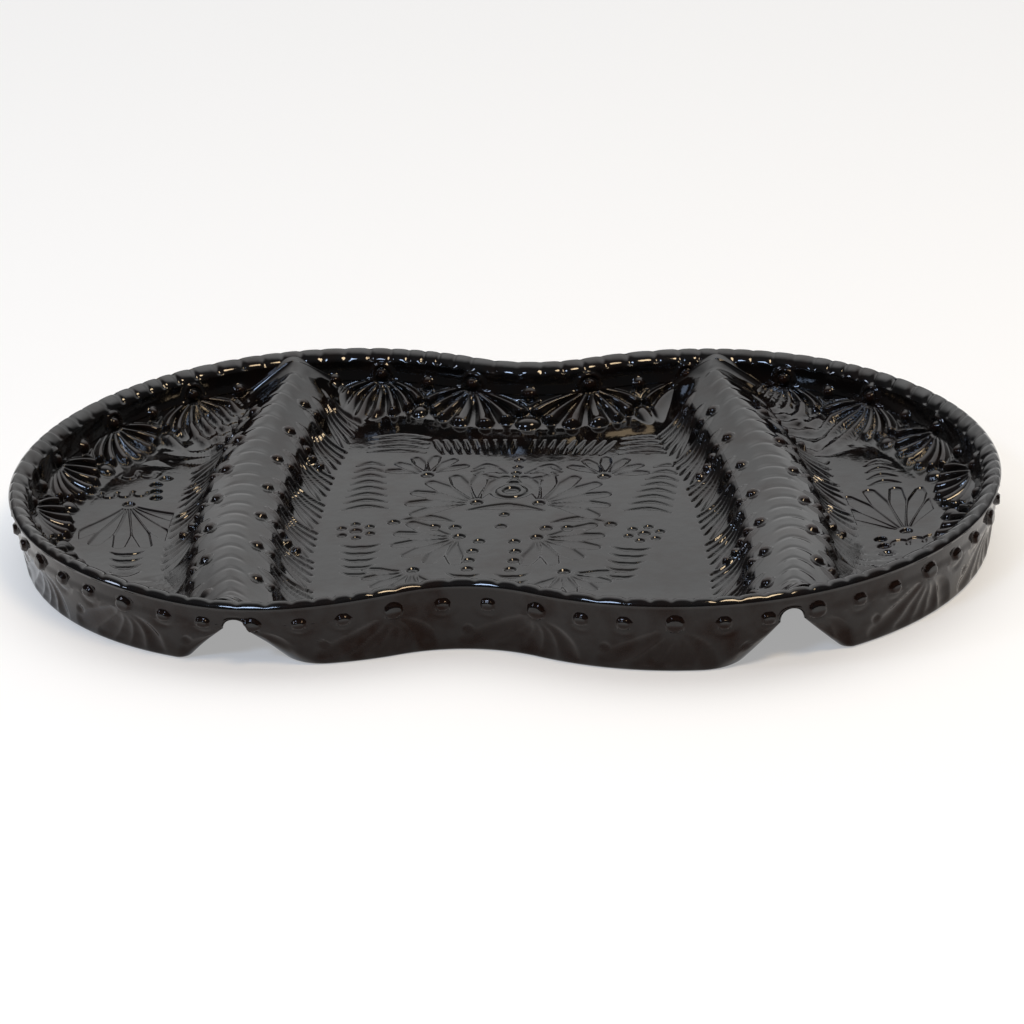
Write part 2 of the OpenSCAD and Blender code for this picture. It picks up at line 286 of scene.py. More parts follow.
def middleLoop(inset, flank, corner):
    back = middleHalf(inset, flank, corner, divider["right"], divider["left"])
    front = middleHalf(inset, flank, corner, divider["left"], divider["right"])
    return np.concatenate([back, -front])


def endHalf(inset, flank, corner, place):
    side = endSide(inset, flank, corner, place)
    last = direction(side[-1] - endCentre)
    return np.concatenate([arc(endCentre, endRadius - inset, 0.0, last, grain["end"]), side[::-1]])


def endLoop(inset, flank, corner, place):
    back = endHalf(inset, flank, corner, place)
    front = endHalf(inset, flank, corner, mirrored(place)) * [1, -1]
    return np.concatenate([back[:-1], front[::-1][:-1]])


def flankShare(wallSteps, middle):
    # how much each point of an outline belongs to the flank: 1 on it, 0 on the wall, between them in a corner
    turn = smooth(np.linspace(0, 1, grain["corner"], endpoint=False))
    flank, wall = np.ones(grain["flank"]), np.zeros(wallSteps)
    half = np.concatenate([flank, 1 - turn, wall] if middle else [wall, turn, flank])
    loop = np.concatenate([half, half[::-1]])
    return np.concatenate([loop, loop]) if middle else loop


def curve(start, bend, end, t):
    return (1 - t) ** 2 * start + 2 * t * (1 - t) * bend + t * t * end


# Relief is drawn as strokes: a path, its half width and its rise along the path, and how round its section
# is, or, with a negative edge, the width in mm of the bevel round a flat top or bottom
def stroke(points, radius, rise, edge=0.8):
    points = np.asarray(points, float)
    t = np.linspace(0, 1, 11)[:, None]
    if len(points) == 3:
        path = curve(*points, t)
    elif len(points) == 2:
        path = points[0] + (points[1] - points[0]) * t[::5]
    else:
        path = points
    along = np.linspace(0, 1, len(path))
    radius, rise = np.atleast_1d(radius), np.atleast_1d(rise)
    return (path, np.interp(along, np.linspace(0, 1, len(radius)), radius),
            np.interp(along, np.linspace(0, 1, len(rise)), rise), edge)


def pearl(at, radius, rise, edge=0.7):
    at = np.asarray(at, float)
    return stroke([at - [0.01, 0], at + [0.01, 0]], radius, rise, edge)


def carve(u, v, strokes):
    height = np.zeros(u.shape)
    flat, uu, vv = height.reshape(-1), u.reshape(-1), v.reshape(-1)
    for path, radius, rise, edge in strokes:
        low, high = path.min(0) - radius.max(), path.max(0) + radius.max()
        near = np.flatnonzero((uu > low[0]) & (uu < high[0]) & (vv > low[1]) & (vv < high[1]))
        if not len(near):
            continue
        p = np.stack([uu[near], vv[near]], -1)
        best = np.full(len(near), 9.0)
        top, size = np.zeros(len(near)), np.zeros(len(near))
        for i in range(len(path) - 1):
            way = path[i + 1] - path[i]
            t = np.clip((p - path[i]) @ way / max(way @ way, 1e-9), 0, 1)
            wide = radius[i] + (radius[i + 1] - radius[i]) * t
            off = np.linalg.norm(p - path[i] - t[:, None] * way, axis=1) / wide
            closer = off < best
            best, size = np.where(closer, off, best), np.where(closer, wide, size)
            top = np.where(closer, rise[i] + (rise[i + 1] - rise[i]) * t, top)
        within = np.clip(1 - best, 0, 1)
        shape = smooth(within * size / -edge) if edge < 0 else (within * (2 - within)) ** edge
        flat[near] = np.maximum(flat[near], top * shape)
    return height


def raisedBy(rise, strokes):
    return [(p, r, h * rise, e) for p, r, h, e in strokes]


# Palmettes on the inside of the walls, in mm round the rim and mm down from the lip
palmette = {
    "apart": 32.0, "reach": 14.4,
    "spread": 21.0,  # degrees between two fingers
    "fingers": 3,  # on each side of the middle one
    "top": 1.4, "rise": 1.6,
    "heart": (2.4, 1.8),  # how far down, radius
    "hood": 3.0, "fingerFrom": 3.4,
    "fingerWide": np.array([0.8, 1.3, 1.9, 2.4]),
    "fingerRise": [0.4, 0.8, 1.2, 1.5],
    "sidePearls": ((16.6, 2.9, 1.15), (5.8, 2.2, 1.0)),  # between two palmettes: how far down, radius, rise
    "sideLeaf": ((-2.4, 8.2), (0, 9.6), (0, 11.6)),
}


def palmetteAt(s):
    form = palmette
    heart = np.array([s, form["top"] + form["heart"][0]])
    strokes = [pearl(heart, form["heart"][1], 1.0, 0.5)]
    strokes.append(stroke(bow(heart, form["hood"], -200, 20, 13), 0.8, [0.3, 0.6, 0.3], 0.6))
    for k in range(-form["fingers"], form["fingers"] + 1):
        out = towards(k * form["spread"])[::-1]
        start = heart + form["fingerFrom"] * out + [0, 0.3]
        tip = heart + form["reach"] * (1 - 0.07 * abs(k)) * out + [1.2 * k, 1.0 * abs(k)]
        bend = (start + tip) / 2 + [0.5 * k, -0.4 * abs(k)]
        wide = 1 - 0.05 * abs(k)
        strokes.append(stroke([start, bend, tip], form["fingerWide"] * wide, form["fingerRise"]))
    for side in (-1, 1):
        beside = np.array([s + side * form["apart"] / 2, 0.0])
        for down, radius, rise in form["sidePearls"]:
            strokes.append(pearl(beside + [0, down], radius, rise))
        leaf = [beside + [side * x, down] for x, down in form["sideLeaf"]]
        strokes.append(stroke(leaf, [0.5, 1.2, 0.6], 0.5))
    return raisedBy(form["rise"], strokes)


def roundTheRim(motif, apart):
    count = 4 * round(quarterRun / apart)
    strokes = []
    for i in range(-1, count + 1):
        strokes += motif(-wholeRun / 2 + (i + 0.5) * wholeRun / count)
    return strokes


# Swirling fans and pearls on the outside, in mm round the rim and mm down from the lip
outerFan = {
    "apart": 38.0, "top": 4.2, "rise": 0.95, "flutes": 5,
    "firstTurn": -56,  # degrees from straight down
    "spread": 24.0, "reach": 13.0, "flattest": 0.62, "hood": 4.0,
    "fluteWide": [1.0, 2.2, 3.2, 3.0],
    "fluteRise": [0.2, 0.75, 1.0, 0.6],
    "pearlsAt": (0.34, 0.65),  # share of the way to the next fan
}


def outerFanAt(s):
    form = outerFan
    heart = np.array([s, form["top"]])
    strokes = [stroke([heart - [0.4, 0.1], heart + [0.4, -0.1]], 2.2, 2.0, 0.5)]
    for k in range(form["flutes"]):
        out = towards(form["firstTurn"] + form["spread"] * k)[::-1]
        tip = heart + out * form["reach"] / max(out[1], form["flattest"]) + [-2.0, 0]
        flute = [heart + 4.5 * out, heart + out * 8.0 + [2.4, 0], tip]
        strokes.append(stroke(flute, form["fluteWide"], form["fluteRise"], 1.1))
    for step in form["pearlsAt"]:
        at = heart + [step * form["apart"], 0.2]
        strokes.append(stroke([at - [0.3, 0.1], at + [0.3, -0.1]], 1.7, 1.6, 0.5))
        strokes.append(stroke(bow(at, form["hood"], 20, 160, 9), 1.2, [0.1, 0.4, 0.1], 1.2))
    strokes.append(pearl(heart + [0.5 * form["apart"], 8.0], 1.6, 0.6, 0.5))
    return raisedBy(form["rise"], strokes)


# Feathers on the flanks, in mm along the divider and mm down from the edge of the crest
feather = {
    "apart": 20.0, "barbs": 5, "depth": 0.95, "bevel": 0.6, "reach": 70.0,
    "shift": 7.0,  # between the two sides of a divider
    "root": (6.5, 1.2),
    "rootStep": np.array([-2.6, 0.5]),  # from barb to barb
    "tip": (-3.0, 18.5),
    "tipStep": np.array([-3.4, -1.3]),
    "barbWide": [0.6, 1.0, 1.15, 0.5],
    "drop": np.array([(8.0, -1.6), (6.2, 1.0), (4.0, 4.4)]),
    "clear": 5.0,  # mm off the walls in which nothing is drawn
    "fade": 8.0,
}


def feathersOf(turned):
    form = feather
    pressed, raised = [], []
    count = int(form["reach"] / form["apart"])
    for i in range(-count, count + 1):
        y = i * form["apart"] + form["shift"] * turned
        at = np.array([y, 0.0])
        for k in range(form["barbs"]):
            start = at + form["root"] + form["rootStep"] * k
            tip = at + form["tip"] + form["tipStep"] * k
            bend = (start + tip) / 2 + [3.0 - 0.2 * k, 0.8]
            pressed.append(stroke([start, bend, tip], form["barbWide"], form["depth"], -form["bevel"]))
        for shift in (0.0, -form["apart"] / 2):
            drop = at + form["drop"] + [shift, 0.0]
            raised.append(stroke(drop, [0.7, 1.5, 1.9, 0.9], [0.3, 0.6, 0.7, 0.5], 0.6))
        raised.append(pearl((y - 8.5, -3.0), 1.7, 1.4, 0.5))
        for k in range(4 if (i + turned) % 3 == 0 else 1):
            raised.append(pearl((y - 10.2 - 1.4 * k, 1.0 + 3.0 * k), 1.4, 1.3, 0.5))
    return pressed, raised


def featherHeight(along, down, side):
    pressed, raised = featherRelief[side]
    high = carve(along, down, raised)
    return np.where(high > 0.05, high, -carve(along, down, pressed))  # raised over pressed


def clearOfWall(inset):
    return smooth((inset - seatIn - feather["clear"]) / feather["fade"])


# Fans, stacked crescents and pearls on the floors, in mm on the floor
floorForm = {
    "depth": 0.65, "bevel": 0.75,
    "dishing": 2.8,  # rise of the floor at the rim
    "reach": 45.0,
    "lobeWide": np.array([0.2, 0.6, 1.0, 0.75]),
    "lobeShare": 0.8,  # of the room that a lobe has
    "crescentsApart": 4.4, "clusterRadius": 4.6,
}


def stamped(strokes):
    return [(p, r, h * floorForm["depth"], -floorForm["bevel"]) for p, r, h, _ in strokes]


def floorDishing(x, y, z):
    # clay left in towards the walls, where the floor was pressed less
    _, inset = wallPlace(x, y)
    low = np.clip(1 - (z - floorZ) / (seat - floorZ), 0, 1)
    return floorForm["dishing"] * np.clip(1 - inset / floorForm["reach"], 0, 1) ** 2 * low


def fanAt(x, y, turn, reach, lobes, spread):
    heart = np.array([x, y])
    strokes = [pearl(heart, 2.0, 1.3)]
    wide = reach * math.radians(spread) / 2 * floorForm["lobeShare"]
    for k in range(lobes):
        place = k - (lobes - 1) / 2
        out = towards(turn + place * spread)
        side = np.array([-out[1], out[0]]) * place
        tip = heart + out * reach * (1 - 0.03 * abs(place)) + side * 0.5
        bend = heart + out * reach * 0.55 - side * 0.25
        strokes.append(stroke([heart + 3.4 * out, bend, tip], floorForm["lobeWide"] * wide, 1.0))
    return strokes


def crescentsAt(x, y, turn, count, wide):
    along = towards(turn)
    cross = np.array([-along[1], along[0]])
    strokes = []
    for k in range(count):
        heart = np.array([x, y]) + along * floorForm["crescentsApart"] * k
        half = wide / 2 * (1 - 0.06 * k)
        ends = [heart - cross * half - along * 2.2, heart + along * 2.0, heart + cross * half - along * 2.2]
        strokes.append(stroke(ends, [0.5, 1.5, 0.5], 1.0))
    return strokes


def clusterAt(x, y, turn, count):
    strokes = [pearl((x, y), 2.0, 1.2)]
    for k in range(count):
        out = floorForm["clusterRadius"] * towards(turn + 360 * k / count)
        strokes.append(pearl(out + [x, y], 1.6, 1.2))
    return strokes


def pearlRow(start, bend, end, count, radius):
    t = np.linspace(0, 1, count)[:, None]
    places = curve(*np.array([start, bend, end], float), t)
    return [pearl(p, radius, 1.2) for p in places]


def bothSides(strokes):
    return strokes + [(p * [-1, 1], r, h, e) for p, r, h, e in strokes]


def middleFloor():
    strokes = [pearl((0, 20), 2.8, 1.4), stroke(bow((0, 20), 5.4, 0, 360, 25), 1.3, 1.2)]
    strokes += [stroke([(-11, 6), (0, 11), (11, 6)], [0.6, 2.8, 0.6], 1.0), pearl((0, 3), 1.7, 1.2)]
    strokes += pearlRow((0, 29), (0, 33), (0, 41), 4, 1.5) + [pearl((0, -5), 1.9, 1.1)]
    side = fanAt(9, 11, 42, 20, 7, 21) + fanAt(11, -12, -32, 18, 6, 23)
    side += fanAt(26, 30, 80, 13, 6, 24) + fanAt(21, -34, -62, 14, 6, 23)
    side += crescentsAt(41, 8, 84, 8, 13) + crescentsAt(38, -20, -95, 5, 11)
    side += crescentsAt(8, 29, 80, 3, 8) + crescentsAt(7, -38, -85, 3, 9)
    side += [stroke([(3, 32), (7.5, 37), (13, 33)], [0.6, 2.4, 0.6], 1.0)]
    side += [stroke([(14, -2), (21, 2.5), (29, -1)], [0.5, 2.2, 0.5], 1.0)]
    side += pearlRow((13, -6), (22, -6), (31, -3), 4, 2.0) + pearlRow((5, -15), (7, -25), (6, -33), 4, 1.9)
    side += clusterAt(41, -9, 20, 6)
    for k in range(1, 10):
        side.append(stroke([(2.6 * k, 45), (2.8 * k, 49.5), (3.0 * k, 54)], [0.5, 1.05, 0.6], 1.0))
    for k in range(4):
        y = 3.3 * k
        side.append(stroke([(29, 46 + y), (37, 49 + y), (46, 46.5 + y)], [0.4, 1.4, 0.5], 1.0))
    return stamped(strokes + bothSides(side))


def endFloor(place):
    x = place[1] + 31.5
    strokes = fanAt(x + 5, -7, 112, 29, 7, 14)
    for at in ((-2, -12), (-1, -16.5), (0, -21), (-2, -25.5)):
        strokes.append(pearl((x + at[0], at[1]), 2.0, 1.8))
    for k in range(3):
        strokes.append(stroke(bow((x + 3.5 + 4.4 * k, -15.0 + 1.2 * k), 2.3, 200, -20, 9), 0.9, 1.0))
    for k in range(2):
        strokes.append(stroke(bow((x + 4 + 5.4 * k, -28.0 + 1.6 * k), 2.8, 200, -20, 9), 1.0, 1.0))
    strokes += crescentsAt(x - 2, 27, 100, 4, 9) + crescentsAt(x + 3, -35, -95, 3, 8)
    return stamped(strokes)


wallRelief = roundTheRim(palmetteAt, palmette["apart"])
outerRelief = roundTheRim(outerFanAt, outerFan["apart"])
featherRelief = {side: feathersOf(turned) for turned, side in enumerate(("endSide", "middleSide"))}
print("relief drawn:", len(wallRelief), "wall and", len(outerRelief), "outer strokes")


def alongDivider(x, y):
    # mm along the nearer divider, towards the back, and mm off its arc, towards the end of the dish
    run, off = [], []
    for name, turn in (("right", 1.0), ("left", -1.0)):
        centre = dividerCentre(divider[name])
        dx, dy = x * turn - centre[0], y * turn - centre[1]
        run.append((np.arctan2(dy, dx) - divider[name][0]) * divider["radius"] * turn)
        off.append(np.hypot(dx, dy) - divider["radius"])
    return np.where(x >= 0, run[0], run[1]), np.where(x >= 0, off[0], off[1])


# The dish was pressed by hand: its rim sags a little over the left notch
sag = {"depth": 2.4, "x": -60.0, "y": -84.0, "reach": 24.0, "fromZ": 3.0, "over": 17.0}


def settled(points):
    away = (points[..., 0] - sag["x"]) ** 2 + (points[..., 1] - sag["y"]) ** 2
    share = smooth((points[..., 2] - sag["fromZ"]) / sag["over"])  # the foot stays flat
    drop = sag["depth"] * np.exp(-away / (2 * sag["reach"] ** 2)) * share
    return points - drop[..., None] * np.array([0.0, 0.0, 1.0])


def gridNormals(points, closed):
    down = np.gradient(points, axis=0)
    if closed:
        along = np.roll(points, -1, 1) - np.roll(points, 1, 1)
    else:
        along = np.gradient(points, axis=1)
    normals = np.cross(along, down)
    return normals / np.maximum(np.linalg.norm(normals, axis=-1, keepdims=True), 1e-9)


def ringFaces(rows, count, closed=True):
    i = np.arange(count if closed else count - 1)
    j = (i + 1) % count
    faces = []
    for k in range(rows - 1):
        a, b = k * count, (k + 1) * count
        faces.append(np.stack([a + i, b + i, b + j, a + j], -1))
    return np.concatenate(faces)


def gridFaces(index):
    return np.stack([index[:-1, :-1], index[:-1, 1:], index[1:, 1:], index[1:, :-1]], -1).reshape(-1, 4)


def intoScene(name, data):
    thing = bpy.data.objects.new(name, data)
    bpy.context.scene.collection.objects.link(thing)
    return thing


def makePiece(name, node, points, relief, quads, others, creases, glaze):
    mesh = bpy.data.meshes.new(name)
    mesh.from_pydata((settled(points) * mm).tolist(), [], quads.tolist() + others)
    mesh.polygons.foreach_set("use_smooth", np.ones(len(mesh.polygons), bool))
    ends = np.zeros(len(mesh.edges) * 2, int)
    mesh.edges.foreach_get("vertices", ends)
    marked = np.zeros(len(points), bool)
    marked[creases] = True
    sharp = mesh.attributes.new("sharp_edge", "BOOLEAN", "EDGE")
    sharp.data.foreach_set("value", marked[ends.reshape(-1, 2)].all(1))
    thin = mesh.attributes.new("relief", "FLOAT", "POINT")
    thin.data.foreach_set("value", relief.astype(np.float32))
    mesh.validate()
    mesh.materials.append(glaze)
    piece = intoScene(name, mesh)
    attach(piece, "root")
    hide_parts(node)
    print(name, "made:", len(points), "points")


def levelsInside():
    turn = np.radians(np.linspace(90, 0, grain["cove"] + 1))
    return floorZ + (seat - floorZ) * (1 - np.cos(turn))


def levelsOutside():
    foot = dish["foot"] * (1 - np.cos(np.radians(np.linspace(0, 90, grain["foot"] + 1))))
    return np.concatenate([foot, np.linspace(dish["foot"], seat, grain["wall"] + 1)[1:]])


lipZ = dish["lipZ"]
bandDrop = lipZ - seat


def bandInside(z):
    # steepens towards the lip
    t = (z - seat) / bandDrop
    return seatIn - bandDrop * (innerRun * t - (innerRun - dish["lipRun"]) * t * t / 2)


def sineWaves(values, axis):
    gap = np.zeros_like(values.take([0], axis))
    odd = np.concatenate([gap, values, gap, -np.flip(values, axis)], axis)
    return -np.fft.rfft(odd, axis=axis).imag.take(range(1, values.shape[axis] + 1), axis)


def evenedOut(patch):
    # slides the inner points until each is the mean of its four neighbours: on even faces the stamped edges
    # stay unbroken
    around = patch[2:, 1:-1] + patch[:-2, 1:-1] + patch[1:-1, 2:] + patch[1:-1, :-2]
    pull = sineWaves(sineWaves(around - 4 * patch[1:-1, 1:-1], 0), 1)
    rows, cols = patch.shape[0] - 1, patch.shape[1] - 1
    stiffDown = 2 - 2 * np.cos(math.pi * np.arange(1, rows) / rows)
    stiffAcross = 2 - 2 * np.cos(math.pi * np.arange(1, cols) / cols)
    slide = pull / (stiffDown[:, None, None] + stiffAcross[None, :, None])
    patch[1:-1, 1:-1] += sineWaves(sineWaves(slide, 0), 1) / (4 * rows * cols)
    return patch


def floorPatch(sides):
    # fills a floor between its four sides, each given as points in the same sense round the floor
    front, right, back, left = sides
    back, left = back[::-1], left[::-1]
    u = np.linspace(0, 1, len(front))[None, :, None]
    v = np.linspace(0, 1, len(right))[:, None, None]
    corners = (1 - u) * (1 - v) * front[0] + u * (1 - v) * front[-1]
    corners = corners + (1 - u) * v * back[0] + u * v * back[-1]
    patch = (1 - v) * front[None] + v * back[None] + (1 - u) * left[:, None] + u * right[:, None] - corners
    return evenedOut(patch)


# The glaze ran thinner on the outside, as on a high ridge, but not over its pearls, and pooled thick round
# the palmettes. The brown share on the outside is partly painted reflection of a dark brown surface in front
glazeRunAndPaintedReflection = {"outside": 0.9, "inside": 0.3, "pearlFrom": 0.95, "pearlOver": 0.3}


def thinAndPaintedReflectionOutside(rise):
    pearls = smooth((rise - glazeRunAndPaintedReflection["pearlFrom"]) / glazeRunAndPaintedReflection["pearlOver"])
    return (rise + glazeRunAndPaintedReflection["outside"]) * (1 - pearls)


reliefFade = {"rings": 5.0, "foot": 2.5}  # over the rings next to the floor, over mm above the foot


def downAlong(face, levels):
    path = np.array([[face(z), z] for z in levels])
    return np.r_[0, np.cumsum(np.linalg.norm(np.diff(path, axis=0), axis=1))]


def makeTray(name, node, innerLoop, outerLoop, share, corners, floorStrokes, glaze):
    inside, outside = levelsInside(), levelsOutside()
    count = len(share)
    inner = np.array([np.c_[innerLoop(z), np.full(count, z)] for z in inside])
    outer = np.array([np.c_[outerLoop(z), np.full(count, z)] for z in outside])
    wallDown = bandDrop + downAlong(wallInside, inside)
    flankDown = downAlong(flankInside, inside)

    run, inset = wallPlace(inner[..., 0], inner[..., 1])
    along, off = alongDivider(inner[..., 0], inner[..., 1])
    level = np.repeat(np.arange(len(inside))[:, None], count, 1)
    fade = smooth((len(inside) - 1 - level) / reliefFade["rings"])
    rise = carve(run, wallDown[level], wallRelief) * (1 - share)
    side = "endSide" if off[0, np.argmax(share)] > 0 else "middleSide"
    rise = (rise + featherHeight(along, flankDown[level], side) * share * clearOfWall(inset)) * fade
    inner[..., 2] += floorDishing(inner[..., 0], inner[..., 1], inner[..., 2])
    inner = inner + gridNormals(inner, True) * rise[..., None]

    runOut, _ = wallPlace(outer[..., 0], outer[..., 1])
    riseOut = carve(runOut, lipZ - outer[..., 2], outerRelief) * (1 - share) ** 2
    riseOut = riseOut * smooth(outer[..., 2] / reliefFade["foot"])
    outer = outer + gridNormals(outer[::-1], True)[::-1] * riseOut[..., None]

    ends = zip(corners, corners[1:] + corners[:1])
    spans = [np.arange(a, b + 1 if b > a else b + count + 1) % count for a, b in ends]
    patch = floorPatch([inner[-1][span] for span in spans])
    floorRise = carve(patch[..., 0], patch[..., 1], floorStrokes)
    patch[..., 2] = floorZ + floorDishing(patch[..., 0], patch[..., 1], floorZ) - floorRise
    rows, cols = patch.shape[:2]

    points = np.concatenate([outer.reshape(-1, 3), inner.reshape(-1, 3), patch[1:-1, 1:-1].reshape(-1, 3)])
    thin = rise * (glazeRunAndPaintedReflection["inside"] + (1 - glazeRunAndPaintedReflection["inside"]) * share)
    # on the outside this share is partly painted reflection of a dark brown surface in front
    thin = np.concatenate([thinAndPaintedReflectionOutside(riseOut).reshape(-1), thin.reshape(-1)])
    relief = np.concatenate([thin, np.zeros((rows - 2) * (cols - 2))])
    rings = len(outside) + len(inside)
    last = (rings - 1) * count
    index = np.zeros((rows, cols), int)
    index[1:-1, 1:-1] = rings * count + np.arange((rows - 2) * (cols - 2)).reshape(rows - 2, cols - 2)
    front, right, back, left = (last + span for span in spans)
    index[0], index[:, -1], index[-1], index[:, 0] = front, right, back[::-1], left[::-1]
    quads = np.concatenate([ringFaces(rings, count)[:, ::-1], gridFaces(index)])
    base = [list(range(count))[::-1]]
    top = np.arange((len(outside) - 1) * count, (len(outside) + 1) * count)
    makePiece(name, node, points, relief, quads, base, top, glaze)


def makeMiddleTray(glaze):
    share = flankShare(grain["waist"], True)
    bend = grain["flank"] + grain["corner"] // 2
    count = len(share)
    corners = [count // 2 + bend, count - bend, bend, count // 2 - bend]
    makeTray(
        "middleTray", "middle_tray",
        lambda z: middleLoop(wallInside(z), flankInside(z), innerCorner(z)),
        lambda z: middleLoop(wallOutside(z), flankOutside(z), notchCorner(z, dish["middleCorner"])),
        share, corners, middleFloor(), glaze)


def makeEndTray(name, node, side, turn, glaze):
    place = divider[side]
    share = flankShare(grain["end"], False)
    count = len(share)
    bend = grain["end"] + grain["corner"] // 2
    tip = grain["flank"] + grain["corner"] // 2
    corners = [count - tip, tip, bend, count - bend]
    strokes = [(p * turn, r, h, e) for p, r, h, e in endFloor(place)]
    makeTray(
        name, node,
        lambda z: endLoop(wallInside(z), flankInside(z), endTrayCorner(z, place), place) * turn,
        lambda z: endLoop(wallOutside(z), flankOutside(z), notchCorner(z, dish["endCorner"]), place) * turn,
        share, corners, strokes, glaze)


# Rope crests: crescent ribs over a rolled saddle that runs up into the lip at both ends
crest = {
    "ribApart": 7.4, "ribRise": 0.16, "ribBow": 6.0, "ribGroove": 0.13, "ribShift": 1.2,
    "uneven": 0.1,  # laid by hand
    "ribTo": 0.62,  # share of the half width at which the ribs end
    "ribFade": 0.34,
    "ribClear": (7.0, 3.0),  # mm off the rim: from where, over how far
    "gap": 0.1, "lift": 2.3,
    "liftFrom": 11.0,  # mm off the rim
    "liftTo": 4.6,
    "into": 2.4,  # how far the ends run on into the rim
    "roll": 2.2, "endRound": 0.15, "vault": 14.0, "vaultFade": 6.0,
}


def crestPlan(place):
    inset = seatIn + crest["gap"]
    near = middleSide(inset, landHalf, innerCorner(seat), place)
    far = endSide(inset, landHalf, endTrayCorner(seat, place), place)
    last = len(near) - 1
    start = direction(far[last] - endCentre)
    reach = outlineTo(inset, start, near[last])
    t = np.linspace(0, 1, grain["across"] + 1)[:, None]
    lastRow = far[last] + (near[last] - far[last]) * t
    pull = outlineAt(inset, start, reach * t[:, 0]) - lastRow
    rows = [far[i] + (near[i] - far[i]) * t + (i / last) ** 3 * pull for i in range(last + 1)]
    for k in range(1, grain["into"] + 1):  # on into the rim, so that no gap shows
        grow = crest["into"] * k / grain["into"]
        p = rows[last]
        onEnd = (np.arctan2(p[:, 1], p[:, 0] - endX) <= waistTurn)[:, None]
        outer = endCentre + (p - endCentre) * (endRadius - inset + grow) / (endRadius - inset)
        hollow = waistCentre + (p - waistCentre) * (waistRadius + inset - grow) / (waistRadius + inset)
        rows.append(np.where(onEnd, outer, hollow))
    return np.array(rows)


def makeCrest(name, node, side, turn, glaze):
    place = divider[side]
    back = crestPlan(place)
    front = crestPlan(mirrored(place)) * [1, -1]
    plan = np.concatenate([front[:0:-1], back]) * turn
    rows, cols = plan.shape[:2]
    middle = len(back) - 1
    flanks = grain["flank"] + grain["corner"]
    t = np.clip(np.abs(np.arange(rows) - middle) / flanks, 0, 1)
    rise = divider["rise"] + (divider["endRise"] - divider["rise"]) * smooth(t)
    u = np.linspace(-1, 1, cols)
    roll = 1 - np.abs(u) ** crest["roll"]
    soft = crest["endRound"]
    tent = 1 - (np.sqrt(u ** 2 + soft ** 2) - soft) / (math.sqrt(1 + soft ** 2) - soft)
    form = roll[None] + (tent - roll)[None] * smooth(t)[:, None]  # a broad roll that narrows towards the rim
    _, inset = wallPlace(plan[..., 0], plan[..., 1])
    lifted = smooth(1 - (inset - crest["liftTo"]) / (crest["liftFrom"] - crest["liftTo"]))
    lift = crest["lift"] * lifted * tent[None]
    z = seat + rise[:, None] * form + lift
    points = np.concatenate([plan, z[..., None]], -1)
    along, off = alongDivider(plan[..., 0], plan[..., 1])
    near = off - crest["ribShift"]
    phase = (along + crest["ribBow"] * (near / landHalf) ** 2) / crest["ribApart"]
    phase = phase + crest["uneven"] * np.sin(along / 11 + off / 9)
    gap = np.abs(phase - np.round(phase))
    rib = 1 - np.exp(-(gap / crest["ribGroove"]) ** 2)  # soft pillows with fine grooves between them
    clear, over = crest["ribClear"]
    onTop = smooth((crest["ribTo"] - np.abs(near) / landHalf) / crest["ribFade"])
    rib *= crest["ribRise"] * onTop * smooth((inset - clear) / over)
    relief = np.where(off > 0, featherHeight(along, off - landHalf, "endSide"),
                      featherHeight(along, -off - landHalf, "middleSide"))
    tall = rib + relief * clearOfWall(inset)
    normals = gridNormals(points, False)
    normals *= np.sign(normals[middle, cols // 2, 2])
    points = points + normals * tall[..., None]
    quads = ringFaces(rows, cols, closed=False)
    grid = np.arange(rows * cols).reshape(rows, cols)
    border = np.concatenate([grid[0], grid[1:, -1], grid[-1, -2::-1], grid[-2:0:-1, 0]])
    # below, the saddle is flat but for the round tops of the tunnel's two mouths
    arch = np.sqrt(np.clip(1 - (off / tunnelHalf) ** 2, 0, 1))
    vault = divider["archRise"] * arch * smooth((crest["vault"] - inset) / crest["vaultFade"])
    under = np.concatenate([plan, (seat + vault)[..., None]], -1)[:, 1:-1]
    points, feet = points.reshape(-1, 3), under.reshape(-1, 3)
    low = np.c_[grid[:, :1], len(points) + np.arange(len(feet)).reshape(rows, cols - 2), grid[:, -1:]]
    below = gridFaces(low)
    others = []
    for top, bottom, sense in ((grid[0], low[0], 1), (grid[-1], low[-1], -1)):
        ends = [[top[j], top[j + 1], bottom[j + 1], bottom[j]] for j in range(cols - 1)]
        others += [[int(i) for i in dict.fromkeys(face)][::sense] for face in ends]
    a, b, c = points[quads[middle * (cols - 1) + cols // 2][:3]]
    if np.cross(b - a, c - a)[2] < 0:
        quads = quads[:, ::-1]
    else:
        others = [face[::-1] for face in others]
        below = below[:, ::-1]
    quads = np.concatenate([quads, below[:, ::-1]])
    thin = np.concatenate([tall.reshape(-1), np.zeros(len(feet))])
    makePiece(name, node, np.concatenate([points, feet]), thin, quads, others, border, glaze)


# Rim band: the upper wall and a lip nicked like a pie crust
rim = {
    "nickApart": 6.5, "nickDepth": 0.65,
    "nickWide": 0.12,  # share of the way to the next nick
    "lay": 0.15, "bulge": 0.1, "crown": 1.7,
    "crownPart": 0.3,  # share of the lip's section outside the crown
    "edgeZ": 20.3, "edgeRoom": 0.9, "groove": 0.5, "grooveZ": 13.6, "grooveOver": 2.2,
    "archFade": 5.0, "archEdge": 1.4, "archEdgeDepth": 0.5, "fall": 1.5, "chamfer": 1.4,
    "room": 0.1,  # nothing on the outside stands out past the lip
    "uneven": (0.28, 0.2),  # nicked by hand
    "swellFrom": (0.06, 0.3),  # share of the lip's section, over how much of it
    "swellTo": (1.02, 0.2),
    "rightEnd": (80.0, 40.0),  # the nicks grow deeper from here, over how far
}


def roundedEdge(turn, sharpness):
    power = 2 / sharpness
    return math.sin(turn) ** power, max(0.0, math.cos(turn)) ** power


